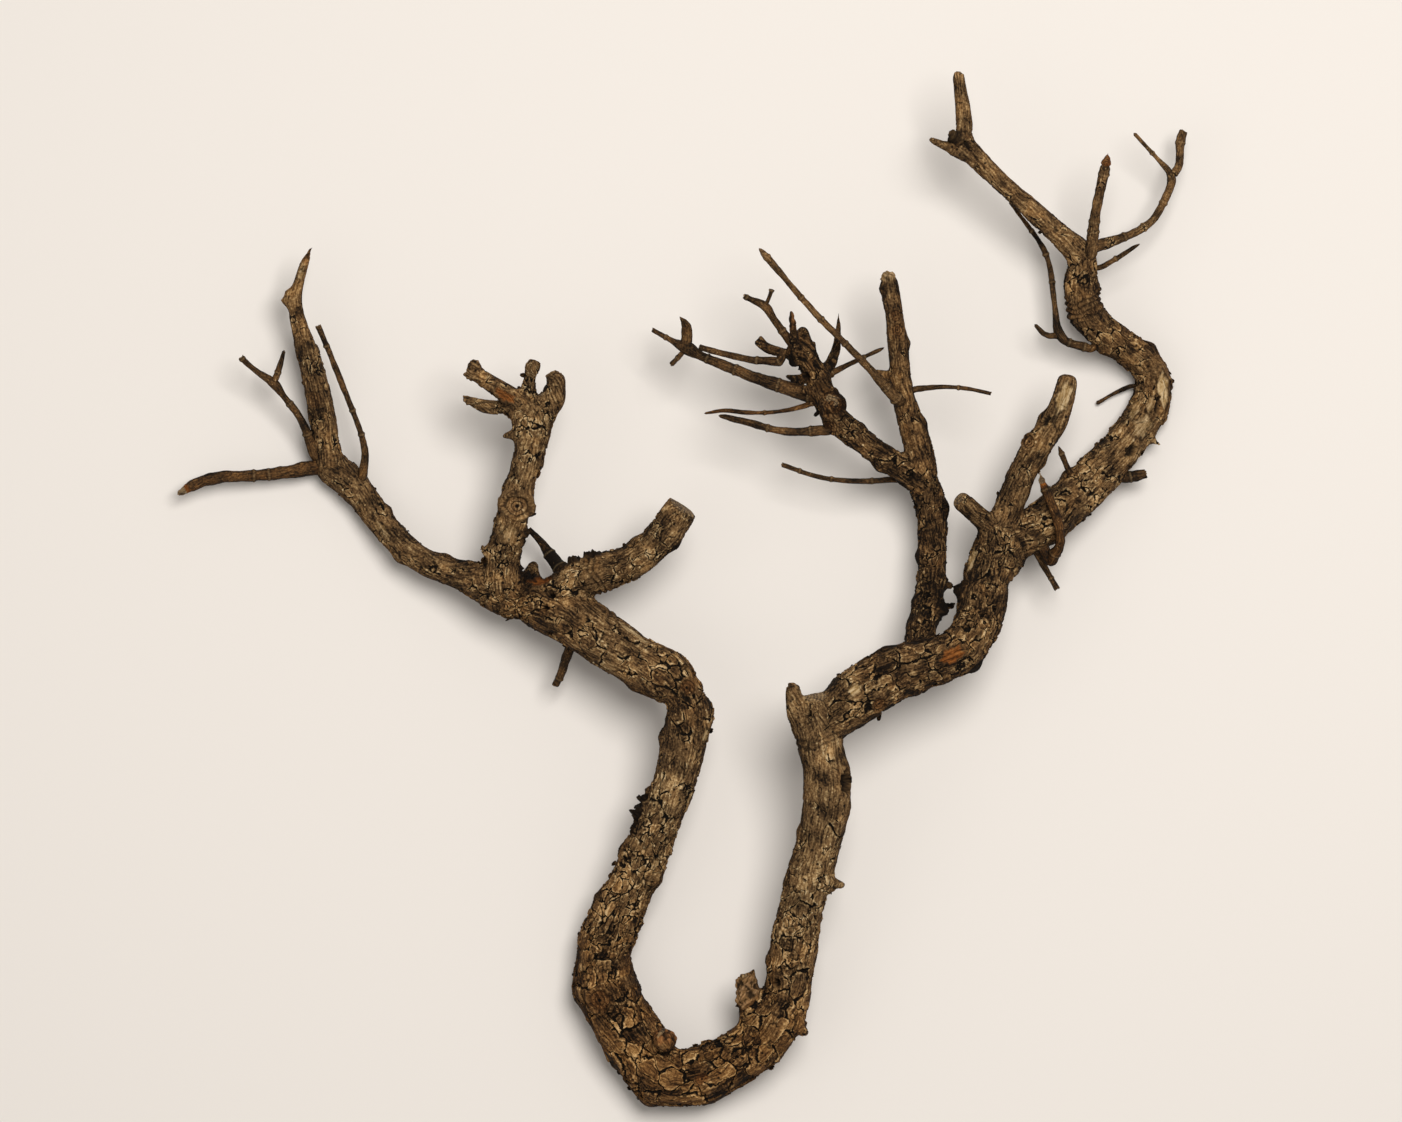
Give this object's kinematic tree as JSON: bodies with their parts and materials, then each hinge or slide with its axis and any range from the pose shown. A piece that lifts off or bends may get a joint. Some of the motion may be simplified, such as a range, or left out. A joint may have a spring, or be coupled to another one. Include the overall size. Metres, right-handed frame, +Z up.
{
  "type": "fallen tree branch",
  "caption": "Weathered fallen branch with rough bark: a stem bowed like a U, limbs at both ends, sawn stubs and broken twigs; lies flat as natural decor.",
  "frame": {"origin": "centre of the bounding box in X and Y, on the floor it lies on", "axes": "+Y from the bottom of the bow towards the highest stub, +X towards the limb with the crown, +Z up from the floor it lies on"},
  "size_m": [0.3986, 0.4064, 0.0708],
  "materials": {
    "old_bark": "rough grey-brown bark in small plates with dark cracks",
    "young_bark": "thin brown twig bark with fine lengthwise lines",
    "torn_wood": "bare orange-brown wood of a torn twig"
  },
  "bodies": {
    "root": {"bowed_stem": "old_bark", "right_limb": "old_bark", "right_upper_limb": "old_bark", "sawn_right_stub": "old_bark", "fork_stub": "old_bark", "torn_twig": "torn_wood", "under_twig": "young_bark", "mid_limb_twig": "young_bark", "elbow_stub": "young_bark", "back_twig": "young_bark", "side_twig": "young_bark", "top_left_branch": "old_bark", "top_left_stub": "old_bark", "crown_spike": "young_bark", "right_curl": "young_bark", "neck_twig": "young_bark", "inner_branch": "old_bark", "inner_left_branch": "old_bark", "inner_upright": "old_bark", "gnarled_head": "old_bark", "long_left_twig": "young_bark", "upper_left_twig": "young_bark", "forked_twig": "young_bark", "cross_twig": "young_bark", "bent_twig": "young_bark", "low_twig": "young_bark", "lowest_twig": "young_bark", "crossing_twig": "young_bark", "outer_twig": "young_bark", "left_outer_branch": "old_bark", "left_upright": "old_bark", "left_stub": "old_bark", "under_stub": "young_bark", "tucked_twig": "young_bark", "left_spike": "old_bark", "left_thin_twig": "young_bark", "left_snapped_twig": "young_bark", "left_bow_twig": "young_bark"}
  },
  "joints": []
}
